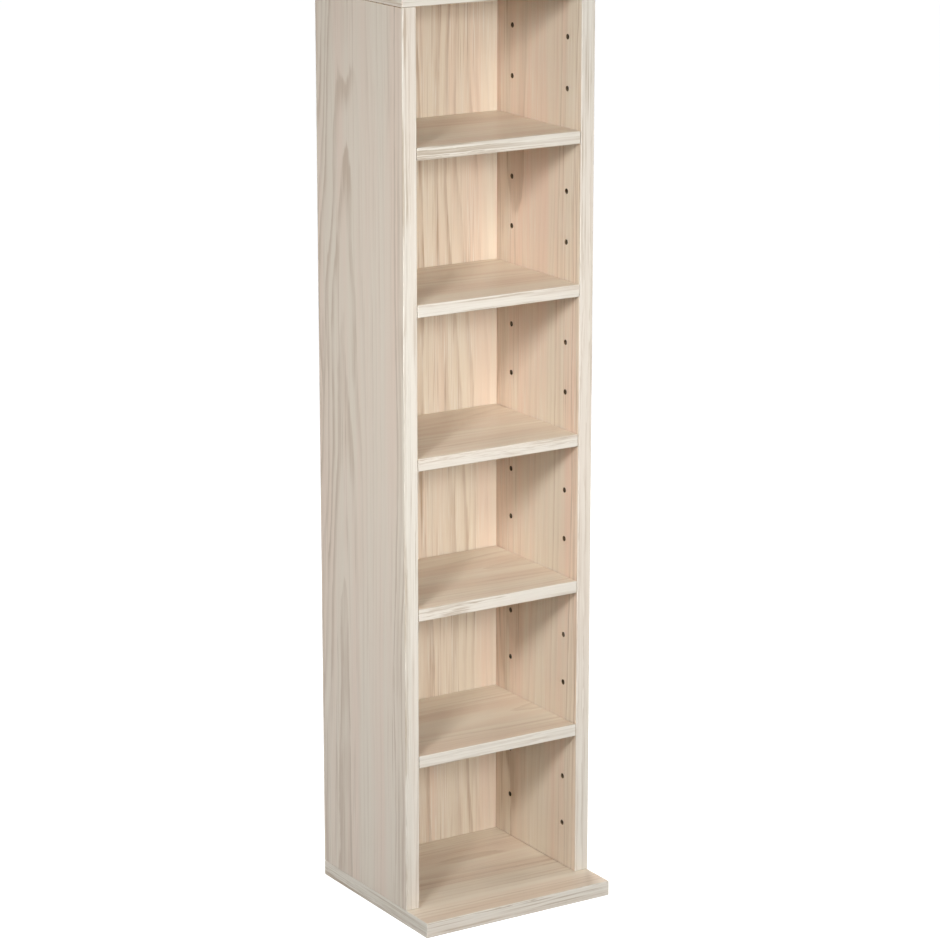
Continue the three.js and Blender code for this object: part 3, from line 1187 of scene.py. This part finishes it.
def add_floor():
    """A plain pale floor, burnt out to white round the tower."""
    bpy.ops.object.select_all(action="DESELECT")
    bpy.ops.mesh.primitive_plane_add(size=60)
    floor = bpy.context.object
    floor.name = "studio_floor"
    material, tree, shader = new_material("studio_floor")
    pale, dull, glow = (0.46, 0.46, 0.46), (0.43, 0.43, 0.43), 0.985
    grit = object_noise(tree, (4.0, 4.0, 4.0), 0.0)
    tree.links.new(blend(tree, grit, pale, dull), shader.inputs["Base Color"])
    shader.inputs["Roughness"].default_value = 0.9
    shader.inputs["Specular IOR Level"].default_value = 0.0
    shader.inputs["Emission Color"].default_value = (1.0, 1.0, 1.0, 1.0)
    seen = add_node(tree, "ShaderNodeLightPath").outputs["Is Camera Ray"]
    tree.links.new(maths(tree, "MULTIPLY", seen, glow), shader.inputs["Emission Strength"])
    floor.data.materials.append(material)


def add_world(scene):
    """An even white surround, brighter to the camera than as light."""
    world = bpy.data.worlds.new("studio")
    scene.world = world
    world.use_nodes = True
    tree = world.node_tree
    tree.nodes.clear()
    output = add_node(tree, "ShaderNodeOutputWorld")
    path = add_node(tree, "ShaderNodeLightPath")
    strength = add_node(
        tree,
        "ShaderNodeMapRange",
        {"Value": path.outputs["Is Camera Ray"], "To Min": 0.05, "To Max": 1.0},
    ).outputs["Result"]
    surround = add_node(
        tree,
        "ShaderNodeBackground",
        {"Color": (1.0, 1.0, 1.0, 1.0), "Strength": strength},
    )
    tree.links.new(surround.outputs[0], output.inputs["Surface"])


def add_light(name, azimuth, elevation, distance, width, strength, spread, height=0.50, shiny=True):
    """A square soft box aimed at the tower's axis, `height` up. A strength of 1 makes a white
    board that faces it look white. A spread below 180 degrees narrows its beam. A box that isn't
    shiny leaves no highlight."""
    away = direction(azimuth, elevation)
    half = math.radians(spread) / 2
    data = bpy.data.lights.new(name, "AREA")
    data.size = width
    data.energy = strength * (math.pi * distance) ** 2 * (1 - half / math.tan(half))
    data.spread = 2 * half
    lamp = bpy.data.objects.new(name, data)
    bpy.context.collection.objects.link(lamp)
    lamp.location = Vector((0, 0, height)) + away * distance
    lamp.rotation_euler = away.to_track_quat("Z", "Y").to_euler()
    lamp.visible_camera = False
    lamp.visible_glossy = shiny


def add_camera(scene):
    """The photograph's view: from the front left, above the tower's top, through a long lens."""
    data = bpy.data.cameras.new("camera")
    data.sensor_width = 36.0
    data.lens = 134.04
    camera = bpy.data.objects.new("camera", data)
    bpy.context.collection.objects.link(camera)
    camera.location = (-1.7196, -2.7632, 1.2954)
    away = direction(azimuth=31.97, elevation=14.95)
    camera.rotation_euler = away.to_track_quat("Z", "Y").to_euler()
    scene.camera = camera


class TOWER_OT_stage(bpy.types.Operator):
    """Sets up the floor, the lights and the camera"""

    bl_idname = "tower.stage"
    bl_label = "Studio"

    def execute(self, context):
        context.scene.view_settings.view_transform = "Standard"
        add_floor()
        add_world(context.scene)
        add_light(
            "key",
            azimuth=51.0,
            elevation=26.5,
            distance=2.35,
            width=0.45,
            strength=0.74,
            spread=50.0,
            height=0.45,
            shiny=False,
        )
        add_light(
            "front",
            azimuth=8.0,
            elevation=17.0,
            distance=2.4,
            width=0.7,
            strength=0.89,
            spread=57.0,
            height=0.46,
        )
        add_light(
            "left",
            azimuth=90.0,
            elevation=12.0,
            distance=2.4,
            width=0.8,
            strength=0.27,
            spread=180.0,
            height=0.35,
            shiny=False,
        )
        add_light(
            "right",
            azimuth=-85.0,
            elevation=12.0,
            distance=3.0,
            width=1.0,
            strength=0.68,
            spread=80.0,
            shiny=False,
        )
        add_light(
            "rear",
            azimuth=-160.0,
            elevation=35.0,
            distance=3.0,
            width=1.2,
            strength=0.78,
            spread=80.0,
        )
        add_camera(context.scene)
        return {"FINISHED"}


# Panel and registration

class TOWER_PT_panel(bpy.types.Panel):
    """Lists the tower's operators, sizes and colours"""

    bl_idname = "TOWER_PT_panel"
    bl_label = "Disc case tower"
    bl_space_type = "VIEW_3D"
    bl_region_type = "UI"
    bl_category = "Tower"

    def draw(self, context):
        for operator in OPERATORS:
            self.layout.operator(operator.bl_idname)
        for group in (context.scene.tower_sizes, context.scene.tower_colours):
            for name in group.__annotations__:
                self.layout.prop(group, name)


OPERATORS = (
    TOWER_OT_finishes,
    TOWER_OT_side_panels,
    TOWER_OT_covering_boards,
    TOWER_OT_back_panel,
    TOWER_OT_shelves,
    TOWER_OT_shelf_pins,
    TOWER_OT_fasteners,
    TOWER_OT_stage,
)
CLASSES = (TowerSizes, TowerColours, *OPERATORS, TOWER_PT_panel)


def register():
    """Registers the classes and hangs the sizes and colours on the scene."""
    for cls in CLASSES:
        bpy.utils.register_class(cls)
    bpy.types.Scene.tower_sizes = PointerProperty(type=TowerSizes)
    bpy.types.Scene.tower_colours = PointerProperty(type=TowerColours)


def unregister():
    """Takes away what register added."""
    del bpy.types.Scene.tower_colours
    del bpy.types.Scene.tower_sizes
    for cls in reversed(CLASSES):
        bpy.utils.unregister_class(cls)


def main():
    """Builds the tower's pieces and the studio."""
    register()
    bpy.ops.tower.finishes()
    bpy.ops.tower.side_panels()
    bpy.ops.tower.covering_boards()
    bpy.ops.tower.back_panel()
    bpy.ops.tower.shelves()
    bpy.ops.tower.shelf_pins()
    bpy.ops.tower.fasteners()
    bpy.ops.tower.stage()


if __name__ == "__main__":
    main()
